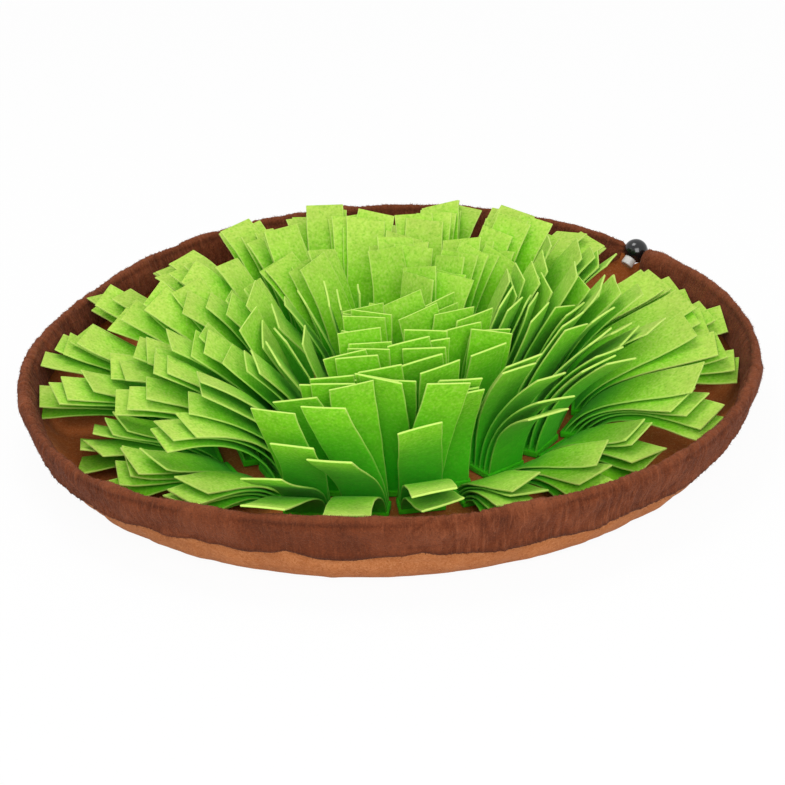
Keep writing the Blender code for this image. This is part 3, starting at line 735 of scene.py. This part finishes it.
def makePile(pile, grid, gridLooks):
    rng = np.random.default_rng(pile["seed"])
    k, j = (rng.uniform(0, size - 1.001, pile["count"]) for size in grid.shape[:2])
    k0, j0 = k.astype(int), j.astype(int)
    kt, jt = (k - k0)[:, None], (j - j0)[:, None]
    a, b, c, d = grid[k0, j0], grid[k0 + 1, j0], grid[k0, j0 + 1], grid[k0 + 1, j0 + 1]
    place = (a * (1 - kt) + b * kt) * (1 - jt) + (c * (1 - kt) + d * kt) * jt
    around, upwards = b - a, c - a
    normal = np.cross(around, upwards)
    size = np.linalg.norm(normal, axis=1, keepdims=True)
    kept = size[:, 0] > 1e-12
    normal = normal / np.maximum(size, 1e-12)
    place, normal, around, upwards, k0, j0 = (v[kept] for v in (place, normal, around, upwards, k0, j0))
    # every normal is turned away from the middle of the fold
    ringRadius, ringHigh = rim["foldMiddle"]
    fromFold = place - np.array((0, 0, ringHigh)) - ringRadius * unitOf(place * (1, 1, 0))
    normal *= np.sign(np.sum(normal * fromFold, axis=1))[:, None]
    around, upwards = unitOf(around), unitOf(upwards)
    count = len(place)
    brush = upwards * rng.normal(*pile["upBand"], count)[:, None]
    brush = brush + around * rng.normal(*pile["alongBand"], count)[:, None]
    way = unitOf(normal * pile["stand"] + unitOf(brush) * (1 - pile["stand"]))
    side = unitOf(np.cross(way, normal))
    other = np.cross(way, side)
    root = place - normal * pile["sunk"]
    length = rng.uniform(*pile["long"], count)[:, None]
    half = pile["wide"] / 2
    corners = [root + side * half, root - side * half, root + other * half * 1.4, root + way * length]
    points = np.stack(corners, axis=1).reshape(-1, 3)
    spike = ((0, 2, 1), (0, 1, 3), (1, 2, 3), (2, 0, 3))
    faces = [tuple(4 * i + corner for corner in face) for i in range(count) for face in spike]
    looks = {key: np.repeat(values[k0, j0], 4) for key, values in gridLooks.items()}
    # the pile takes the painted fold light and shade of the cloth under it, each spike a little paler at
    # random
    looks["paintedFoldShading"] = clamped(looks["paintedFoldShading"] + np.repeat(rng.normal(*pile["paler"], count), 4))
    piece = newPiece("rimPile", points, faces, plush, looks)
    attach(piece, "root")
    return piece


casingPiece, pilePiece = makeCasing(casing)
print("casing made")


# the drawstring runs round inside the casing's fold and through the lock
def makeDrawstring(cordSizes):
    around, sides = cordSizes["around"], cordSizes["sides"]
    angles = gapAt + 360 * np.arange(around) / around
    centres = strayed(angles, *cordSizes["ring"])
    turns = 2 * np.pi * np.arange(sides) / sides
    points = []
    for angle, centre in zip(angles, centres):
        out = onRing(angle, 1, 0)
        ways = [out * cos(t) + up * sin(t) for t in turns]
        points += [Vector(centre) + way * cordSizes["radius"] for way in ways]
    piece = newPiece("drawCord", points, gridFaces(around, sides, closedRows=True), cord, smooth=180)
    uv = piece.data.uv_layers.new(name="braid")
    length, girth = 2 * pi * cordSizes["ring"][0], 2 * pi * cordSizes["radius"]
    for i, face in enumerate(piece.data.polygons):
        k, j = divmod(i, sides)
        for loop, (onward, over) in zip(face.loop_indices, ((0, 0), (1, 0), (1, 1), (0, 1))):
            uv.data[loop].uv = ((k + onward) / around * length, (j + over) / sides * girth)
    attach(piece, "root")
    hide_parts("drawstring")
    return piece


makeDrawstring(drawCord)

# the spring lock: a ball with a way for the cord, and a button in a well across it
lock = {
    "ball": 8.0 * mm,
    "bore": 1.6 * mm,
    "well": 4.4 * mm,
    "wellDeep": -5.2 * mm,
    "lip": 0.5 * mm,  # how much the mouths of the bore and the well flare
    "button": 4.1 * mm,
    "buttonFoot": -2.4 * mm,
    "buttonTop": 12.0 * mm,
    "footEdge": 0.3 * mm,
    "topEdge": 0.9 * mm,
    "topDip": [(0.62, 0.12 * mm), (0.3, 0.3 * mm)],  # share of the radius, how deep
    "slot": 1.5 * mm,
    "travel": 2.5 * mm,
    "tilt": 50.0,
    "rings": 56,
    "around": {"lockBall": 96, "well": 64, "way": 40, "lockButton": 64, "slot": 32},
    "sharp": 32,
}


def lockFrame(tilt):
    out = onRing(gapAt, 1, 0)
    along = Vector((-out.y, out.x, 0))
    button = -out * sin(radians(tilt)) - up * cos(radians(tilt))
    turned = Matrix((along, button.cross(along), button)).transposed().to_4x4()
    return Matrix.Translation(Vector(strayed(gapAt, *drawCord["ring"]))) @ turned


def turnedPiece(name, rows, material):
    around = lock["around"][name]
    turns = [2 * pi * k / around for k in range(around)]
    points = [(r * cos(a), r * sin(a), h) for r, h in rows for a in turns]
    quads = gridFaces(len(rows), around, closedAround=False, closedRows=True)
    faces = [(face[0], *face[:0:-1]) for face in quads]
    faces += [list(reversed(range(around))), [(len(rows) - 1) * around + k for k in range(around)]]
    return newPiece(name, points, faces, material)


def cutAway(target, cutters):
    for cutter in cutters:
        taken = target.modifiers.new("cut", "BOOLEAN")
        taken.operation, taken.solver, taken.object = "DIFFERENCE", "EXACT", cutter
    bpy.context.view_layer.update()
    whole = bpy.data.meshes.new_from_object(target.evaluated_get(bpy.context.evaluated_depsgraph_get()))
    target.modifiers.clear()
    target.data = whole
    for cutter in cutters:
        bpy.data.objects.remove(cutter)


# turns a cutter from the button's axis onto the cord's, and lengthens its round section
def alongCord(piece, stretch=0.0):
    for vertex in piece.data.vertices:
        x, y, z = vertex.co
        vertex.co = (z, x, y + (stretch if y > 0 else 0))


# the profile of a round hole's mouth, from just inside the ball to well outside
def mouthRows(lock, radius):
    edge, lip = sqrt(lock["ball"] ** 2 - radius**2), lock["lip"]
    rows = [(radius + wider * lip, edge + out * lip) for wider, out in ((0, -1), (0.35, -0.3), (1.1, 1))]
    return [*rows, (rows[-1][0], 2 * lock["ball"])]


def makeLock(lock):
    r = lock["ball"]
    arc = [radians(-90 + 180 * (i + 0.5) / lock["rings"]) for i in range(lock["rings"])]
    ball = turnedPiece("lockBall", [(r * cos(a), r * sin(a)) for a in arc], blackPlastic)
    wellRows = [(lock["well"], lock["wellDeep"]), *mouthRows(lock, lock["well"])]
    well = turnedPiece("well", wellRows, blackPlastic)
    mouth = mouthRows(lock, lock["bore"])
    way = turnedPiece("way", [*((radius, -h) for radius, h in reversed(mouth)), *mouth], blackPlastic)
    alongCord(way)
    cutAway(ball, (well, way))
    b, foot, top = lock["button"], lock["buttonFoot"], lock["buttonTop"]
    low, edge = lock["footEdge"], lock["topEdge"]
    turns = [radians(90 * k / 6) for k in range(7)]
    rows = [(b - low, foot), (b, foot + low)]
    rows += [(b - edge + edge * cos(t), top - edge + edge * sin(t)) for t in turns]
    rows += [(b * share, top - deep) for share, deep in lock["topDip"]]
    button = turnedPiece("lockButton", rows, palePlastic)
    slot = turnedPiece("slot", [(lock["slot"], -2 * b), (lock["slot"], 2 * b)], palePlastic)
    alongCord(slot, lock["travel"])
    cutAway(button, (slot,))
    place = lockFrame(lock["tilt"])
    ballRow = (ball, "lock_barrel", "root", "black_plastic")
    for piece, node, body, name in (ballRow, (button, "lock_button", "button", "pale_plastic")):
        piece.data.transform(place)
        piece.data.shade_smooth()
        piece.data.set_sharp_from_angle(angle=radians(lock["sharp"]))
        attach(piece, body)
        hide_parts(node)


makeLock(lock)
print("drawstring and lock made")

# the felt strips, sewn down in stacks
strip = {
    "felt": 1.2 * mm,
    "solidFelt": 1.4 * mm,
    "wide": 25.0 * mm,
    "footBase": 3.3 * mm,  # the sewn foot: where it starts, how high it is, and what it adds round the strips
    "footHigh": 4.0 * mm,
    "footMargin": 1.0 * mm,
    "footEdge": 0.9 * mm,
    "steps": 16,
    "liftStep": 2.0,
    "lifts": 26,
    "seed": 20,
    "leanStray": 4,
    "cut": (0.93, 1.05),
    "skew": 0.16,
    "cup": 0.30 * mm,
    "wander": 0.30 * mm,
    "edgeWaves": ((9, 23), (8, 26)),  # how fast the left and the right edge wander, slowly and quickly
    "endThin": 0.72,  # the softened cut end: its thickness, and how far it stands out
    "endOut": 0.12 * mm,
}
halfWide = strip["wide"] / 2
# how far a stack's strips stray together, and each on its own, in degrees
strays = {"sway": (10, 6), "tilt": (6, 7), "twist": (9, 8), "curl": (10, 5)}
# rings of stacks in the order that they settle: strip length in mm, strip to strip at the foot in mm,
# the share of the tip's lean at the root, how early strips bend, how far tips turn back to level, and how
# much the strips differ
ringRows = {
    "outer": (91, 3.6, 0.34, 2.4, 16, 1.2),
    "front": (68, 3.4, 0.44, 2.2, 14, 1.1),
    "apron": (86, 3.0, 0.2, 1.8, 0, 1.2),
    "rear": (86, 4.2, 0.2, 1.8, 0, 1.0),
    "second": (89, 4.4, 0.2, 1.8, 0, 1.2),
    "third": (83, 4.6, 0.2, 1.8, 0, 1.5),
    "heart": (80, 3.6, 0.2, 1.8, 0, 1.6),
}
# the stacks in the order of their numbers, in runs of one ring, by these keys: the foot's place in mm,
# heading, strips, lean of the lowest and of the highest strip's tip, fan and twist, all angles in degrees
stackKeys = ("x", "y", "heading", "count", "low", "high", "fan", "twist")
stackRuns = [
    ("outer", [(-124, 8, 176, 5, 104, 90, -10, -4), (-122, -27, 186, 6, 106, 90, 9, -4)]),
    ("front", [
        (-113, -60, 194, 6, 110, 94, 11, 4), (-99, -88, 206, 5, 116, 100, 12, -8),
        (-76, -109, 220, 5, 118, 98, 14, 0),
    ]),
    ("outer", [
        (-49, -130, 262, 4, 88, 40, 0, 0), (-16, -133, 262, 4, 78, 16, 0, 0),
        (15, -130, 276, 4, 98, 26, 0, 0),
    ]),
    ("front", [
        (49, -122, 288, 5, 110, 86, 12, 0), (77, -102, 306, 5, 116, 98, 12, 4),
        (101, -78, 318, 5, 114, 98, 10, 6),
    ]),
    ("outer", [
        (115, -47, 333, 5, 106, 90, 10, 8), (121, -16, 352, 5, 104, 88, 14, 14),
        (119, 15, 10, 5, 104, 86, 10, 12), (107, 44, 18, 4, 96, 80, 4, 8),
    ]),
    ("rear", [
        (90, 82, 46, 4, 90, 76, -10, 0), (63, 101, 60, 5, 76, 54, -9, 0), (31, 115, 78, 6, 72, 54, 9, 0),
        (-3, 116, 90, 5, 94, 80, 10, 0), (-36, 112, 101, 5, 72, 52, -9, 0),
        (-68, 100, 114, 5, 78, 58, 9, 0), (-95, 77, 132, 5, 88, 68, 10, 0),
    ]),
    ("outer", [(-114, 43, 156, 5, 100, 84, 8, -4)]),
    ("apron", [
        (-31, -107, 262, 5, 44, 26, 4, 0), (-1, -110, 270, 5, 40, 20, -4, 0),
        (30, -104, 282, 5, 44, 26, 4, 0),
    ]),
    ("second", [
        (60, -88, 306, 5, 56, 34, 6, 0), (82, -62, 326, 6, 58, 34, 6, 0), (93, -30, 342, 6, 58, 34, 8, 0),
        (92, 1, 2, 6, 56, 32, 8, 0), (81, 36, 22, 6, 54, 32, 8, 0), (60, 66, 46, 6, 56, 34, -6, 0),
        (25, 82, 74, 5, 76, 62, 0, 0), (-14, 82, 98, 5, 80, 62, 4, 0), (-50, 72, 124, 6, 66, 44, -6, 0),
        (-78, 44, 150, 6, 70, 46, 8, 0), (-93, 8, 172, 6, 76, 54, -6, -6),
        (-89, -28, 186, 6, 80, 56, 6, -4), (-81, -58, 194, 5, 82, 60, 0, -6),
        (-62, -85, 204, 6, 80, 56, -8, 0),
    ]),
    ("third", [(-40, -60, 192, 6, 46, 26, 6, 0)]),
    ("apron", [(-11, -83, 264, 5, 20, 6, 0, 0), (20, -80, 276, 5, 20, 6, 4, 0)]),
    ("third", [
        (48, -56, 300, 5, 26, 12, 0, 0), (62, -27, 334, 6, 40, 20, 6, 0), (62, 6, 10, 6, 42, 22, 6, 0),
        (40, 34, 46, 7, 58, 30, -6, 0), (6.5, 46, 84, 7, 66, 24, 6, 0), (-27.6, 38, 124, 6, 66, 32, 0, 0),
        (-60, 8, 160, 6, 54, 32, 0, 0), (-58, -34, 188, 5, 60, 40, 0, 0),
    ]),
    ("heart", [
        (-10, -47, 262, 6, 8, -6, 0, 0), (27, -38, 290, 5, 12, -4, 0, 0), (24, 8, 50, 6, 50, 22, 0, 0),
        (-22, -4, 186, 6, 42, 6, 0, 0),
    ]),
]
stacks = [dict(zip(stackKeys, row), ring=ring) for ring, rows in stackRuns for row in rows]


def footCentre(stack):
    return Vector((stack["x"] * mm, stack["y"] * mm, strip["footBase"] + strip["footHigh"] / 2))


def stripLine(root, heading, leanRoot, leanTip, length, early, sway, tilt, twist, curl):
    points, step, place = [], length / strip["steps"], Vector(root)
    for i in range(strip["steps"] + 1):
        s = i / strip["steps"]
        lean = radians(leanRoot + (leanTip - leanRoot) * (1 - (1 - s) ** early) + curl * s**3)
        ease = eased(s)
        turn = radians(heading + sway * ease)
        slope = radians(tilt * min(1, 4 * s))
        out = Vector((cos(turn), sin(turn), 0))
        level = Vector((-out.y, out.x, 0))
        along = out * sin(lean) + up * cos(lean)
        across = Matrix.Rotation(radians(twist * ease), 3, along) @ level
        c, d = cos(slope), sin(slope)
        across, along = across * c - along * d, along * c + across * d
        points.append((place.copy(), across, along))
        place += along * step
    return points


def tipCorners(line, skew):
    centre, across, along = line[-1]
    width = across * strip["wide"] + along * (skew * strip["wide"])
    face = across.cross(along) * (strip["solidFelt"] / 2)
    return [centre + width * side / 2 + face * deep for side, deep in ((-1, -1), (1, -1), (1, 1), (-1, 1))]


def bundleTree(number):
    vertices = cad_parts[f"felt_bundle_{number + 1:02d}"].data.vertices
    tree = KDTree(len(vertices))
    for i, vertex in enumerate(vertices):
        tree.insert(vertex.co, i)
    tree.balance()
    return tree


# every strip lies on its own solid: of its possible lifts, the one whose tip corners are the solid's
def settleStrips():
    rng = random.Random(strip["seed"])
    trees = [bundleTree(number) for number in range(len(stacks))]
    settled, worst = [[] for _ in stacks], 0.0
    for ring, (length, pitch, rootShare, early, level, wild) in ringRows.items():
        members = [(i, s) for i, s in enumerate(stacks) if s["ring"] == ring]
        deepest = max(s["count"] for _, s in members)
        for layer, (number, stack) in ((k, member) for k in range(deepest) for member in members):
            if layer >= stack["count"]:
                continue
            share = layer / max(stack["count"] - 1, 1)
            back = (share - 0.5) * (stack["count"] - 1) * pitch * mm
            root = footCentre(stack) - onRing(stack["heading"], 1, 0) * back
            lean = stack["low"] + (stack["high"] - stack["low"]) * share
            leanTip = lean + rng.uniform(-strip["leanStray"], strip["leanStray"])
            common = random.Random(strip["seed"] + int(stack["x"] * 7 + stack["y"]))
            own = {}
            for kind, (together, apart) in strays.items():
                own[kind] = common.uniform(-together, together) + wild * rng.uniform(-apart, apart)
            own["sway"] += stack["fan"] * (share - 0.5) * 2
            own["twist"] += stack["twist"]
            own["curl"] -= level
            long = length * mm * rng.uniform(*strip["cut"])
            skew = rng.uniform(-strip["skew"], strip["skew"])
            tries = []
            for k in range(strip["lifts"]):
                tip = leanTip - strip["liftStep"] * k
                line = stripLine(root, stack["heading"], rootShare * lean, tip, long, early, **own)
                tries.append((max(trees[number].find(corner)[2] for corner in tipCorners(line, skew)), line))
            miss, line = min(tries, key=lambda found: found[0])
            worst = max(worst, miss)
            settled[number].append((line, skew))
    print(f"strips settled, worst miss {worst * 1000:.3f} mm")
    return settled


# how much open sky each strip's two faces have, station by station, at some places across it; the felt's
# painted light and shade follow it
sky = {"rings": ((82, 5), (62, 8), (40, 9), (18, 8)), "across": (-0.8, 0, 0.8), "off": 0.9 * mm, "smooth": 2}


def skyRays():
    rays = []
    for height, count in sky["rings"]:
        e = radians(height)
        for a in (2 * pi * (k + 0.3) / count for k in range(count)):
            rays.append(Vector((cos(e) * cos(a), cos(e) * sin(a), sin(e))))
    return rays


# all strips without their thickness, with the solid dish and rim
def skyTree(lines):
    corners, quads = [], []
    for line in lines:
        for i, (centre, across, _) in enumerate(line):
            corners += [centre - across * halfWide, centre + across * halfWide]
            if i:
                a = len(corners) - 4
                quads.append((a, a + 1, a + 3, a + 2))
    for name in ("dish_cloth", "rim_casing"):
        mesh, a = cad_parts[name].data, len(corners)
        corners += [v.co.copy() for v in mesh.vertices]
        quads += [tuple(a + v for v in face.vertices) for face in mesh.polygons]
    return BVHTree.FromPolygons([tuple(c) for c in corners], quads)


def skyShares(lines):
    tree, rays, shares = skyTree(lines), skyRays(), []
    level = sum(ray.z for ray in rays)
    for line in lines:
        found = np.zeros((len(line), 2, len(sky["across"])))
        for i, (centre, across, along) in enumerate(line):
            face = across.cross(along)
            for j, u in enumerate(sky["across"]):
                place = centre + across * (u * halfWide)
                for ray in rays:
                    lean = face.dot(ray)
                    start = place + face * (sky["off"] if lean > 0 else -sky["off"])
                    if tree.ray_cast(start, ray)[0] is None:
                        found[i, 0 if lean > 0 else 1, j] += abs(lean) / level
        for _ in range(sky["smooth"]):
            padded = np.concatenate([found[:1], found, found[-1:]])
            found = (padded[:-2] + 2 * padded[1:-1] + padded[2:]) / 4
        shares.append(found)
    return shares


# a strip's ring of points: flat faces with softened corners; u runs across, d through the felt
acrossFace = (-0.93, -0.62, -0.31, 0.0, 0.31, 0.62, 0.93)
ringShape = [(-0.985, 0.72), *((u, 1.0) for u in acrossFace), (0.985, 0.72), (1.0, 0.0)]
ringShape += [(0.985, -0.72), *((u, -1.0) for u in reversed(acrossFace)), (-0.985, -0.72), (-1.0, 0.0)]
edgeShare = [1.0 if abs(u) > 0.95 else 0.0 for u, _ in ringShape]


def stripMesh(line, skew, seed, share):
    rng = random.Random(seed)
    centres, acrosses, alongs = (softCurve([place[i] for place in line], 2) for i in range(3))
    stations = len(centres)
    phases = [rng.uniform(0, 6.28) for _ in range(6)]
    tint = rng.uniform(-1, 1)
    points, along, edge, lit = [], [], [], []
    for i in range(stations + 1):
        k, last = min(i, stations - 1), i == stations
        s = k / (stations - 1)
        low = min(k // 2, len(share) - 2)
        here = share[low] + (share[low + 1] - share[low]) * (k / 2 - low)
        centre, across, forward = (np.asarray(part[k], float) for part in (centres, acrosses, alongs))
        across, forward = across / np.linalg.norm(across), forward / np.linalg.norm(forward)
        face = np.cross(across, forward)
        free = min(1.0, s * 3)
        cup = strip["cup"] * free * sin(3.1 * s + phases[0])
        roll = 0.5 * strip["cup"] * free * sin(7 * s + phases[1])
        waves = zip(strip["edgeWaves"], (phases[2:4], phases[4:]))
        waves = (sin(slow * s + a) + 0.5 * sin(quick * s + b) for (slow, quick), (a, b) in waves)
        left, right = (strip["wander"] * free * wave / 1.5 for wave in waves)
        pull = max(0.0, (k - stations + 4) / 3)
        for u, d in ringShape:
            sideways = u * halfWide + (right if u > 0 else left) * abs(u)
            thick = d * strip["felt"] / 2 * (strip["endThin"] if last else 1)
            bow = cup * (u * u - 0.4) + roll * u
            onward = skew * u * halfWide * pull + (strip["endOut"] if last else 0)
            points.append(centre + across * sideways + face * (thick + bow) + forward * onward)
            along.append(s)
            faces = [np.interp(u, sky["across"], side) for side in here]
            lit.append(faces[0] if d > 0 else faces[1] if d < 0 else max(faces))
        edge += [1.0] * len(ringShape) if last else edgeShare
    return points, barFaces(stations + 1, len(ringShape)), along, edge, [tint] * len(points), lit


# the sewn roots: a soft block of felt that the strips grow from
def footMesh(stack):
    pitch, more = ringRows[stack["ring"]][1] * mm, 2 * strip["footMargin"]
    deep = (stack["count"] - 1) * pitch + strip["solidFelt"] + more
    sizes = (deep, strip["wide"] + more, strip["footHigh"])
    block = bmesh.new()
    bmesh.ops.create_cube(block, size=1)
    bmesh.ops.scale(block, vec=sizes, verts=block.verts)
    edges = block.edges[:]
    bmesh.ops.bevel(block, geom=edges, offset=strip["footEdge"], segments=3, affect="EDGES", profile=0.6)
    place = Matrix.Translation(footCentre(stack)) @ Matrix.Rotation(radians(stack["heading"]), 4, "Z")
    bmesh.ops.transform(block, matrix=place, verts=block.verts)
    points = [v.co.copy() for v in block.verts]
    faces = [tuple(v.index for v in f.verts) for f in block.faces]
    block.free()
    # the feet: near the root, no cut edge, no tint, and little sky, so they are painted in deep shade
    return points, faces, *([value] * len(points) for value in (0.12, 0.0, 0.0, 0.1))


def makeStacks():
    settled = settleStrips()
    shares = iter(skyShares([line for strips in settled for line, _ in strips]))
    for number, (stack, strips) in enumerate(zip(stacks, settled)):
        points, faces, looks = [], [], {"alongStrip": [], "cutEdge": [], "stripTint": [], "skyShare": []}
        parts = [stripMesh(*one, number * 100 + i, next(shares)) for i, one in enumerate(strips)]
        for newPoints, newFaces, *values in (footMesh(stack), *parts):
            faces += [tuple(len(points) + j for j in face) for face in newFaces]
            points += newPoints
            for store, more in zip(looks.values(), values):
                store += more
        piece = newPiece(f"feltStack{number + 1:02d}", points, faces, felt, looks, smooth=50)
        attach(piece, "root")
        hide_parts(f"felt_bundle_{number + 1:02d}")


makeStacks()
print("felt strips made")

# a plain pale floor and soft studio light
studio = {
    "floorHalf": 8,
    "floorHigh": -0.4 * mm,
    "floorColour": (0.86, 0.86, 0.86, 1),
    "floorWhite": 0.95,  # how much of the floor's look is an even white
    "surround": 0.60,  # the light that comes from all round
    # name, place in metres, size in metres, power in watts
    "lights": [
        ("overhead", (-0.20, 0.20, 1.25), 0.55, 4.6),
        ("front", (0.25, -1.35, 0.85), 1.1, 15.0),
        ("left", (-1.20, -0.30, 0.70), 0.7, 0.4),
    ],
}


def makeStudio(studio):
    half, low = studio["floorHalf"], studio["floorHigh"]
    corners = [(x * half, y * half, low) for x, y in ((-1, -1), (1, -1), (1, 1), (-1, 1))]
    material, tree, shader = newMaterial("paleFloor", 0.9)
    feed(tree, shader, {"Base Color": studio["floorColour"], "Specular IOR Level": 0.1})
    glow = addNode(tree, "ShaderNodeEmission", {"Color": (1, 1, 1, 1), "Strength": 1.0})
    seen = addNode(tree, "ShaderNodeLightPath").outputs["Is Camera Ray"]
    share = mathNode(tree, "MULTIPLY", seen, studio["floorWhite"])
    mixed = addNode(tree, "ShaderNodeMixShader", {0: share, 1: shader.outputs[0], 2: glow.outputs[0]})
    feed(tree, tree.nodes["Material Output"], {"Surface": mixed.outputs[0]})
    newPiece("studioFloor", corners, [(0, 1, 2, 3)], material)
    scene.world = bpy.data.worlds.new("studio")
    scene.world.use_nodes = True
    tree = scene.world.node_tree
    seen = addNode(tree, "ShaderNodeLightPath").outputs["Is Camera Ray"]
    strength = mathNode(tree, "MULTIPLY_ADD", seen, 1 - studio["surround"], studio["surround"])
    feed(tree, tree.nodes["Background"], {0: (1, 1, 1, 1), 1: strength})
    for name, place, size, power in studio["lights"]:
        light = bpy.data.objects.new(name, bpy.data.lights.new(name, "AREA"))
        scene.collection.objects.link(light)
        light.data.size, light.data.energy = size, power
        light.location = place
        light.rotation_euler = (-Vector(place)).to_track_quat("-Z", "Y").to_euler()
    scene.view_settings.view_transform = "Standard"


makeStudio(studio)
print("studio set")
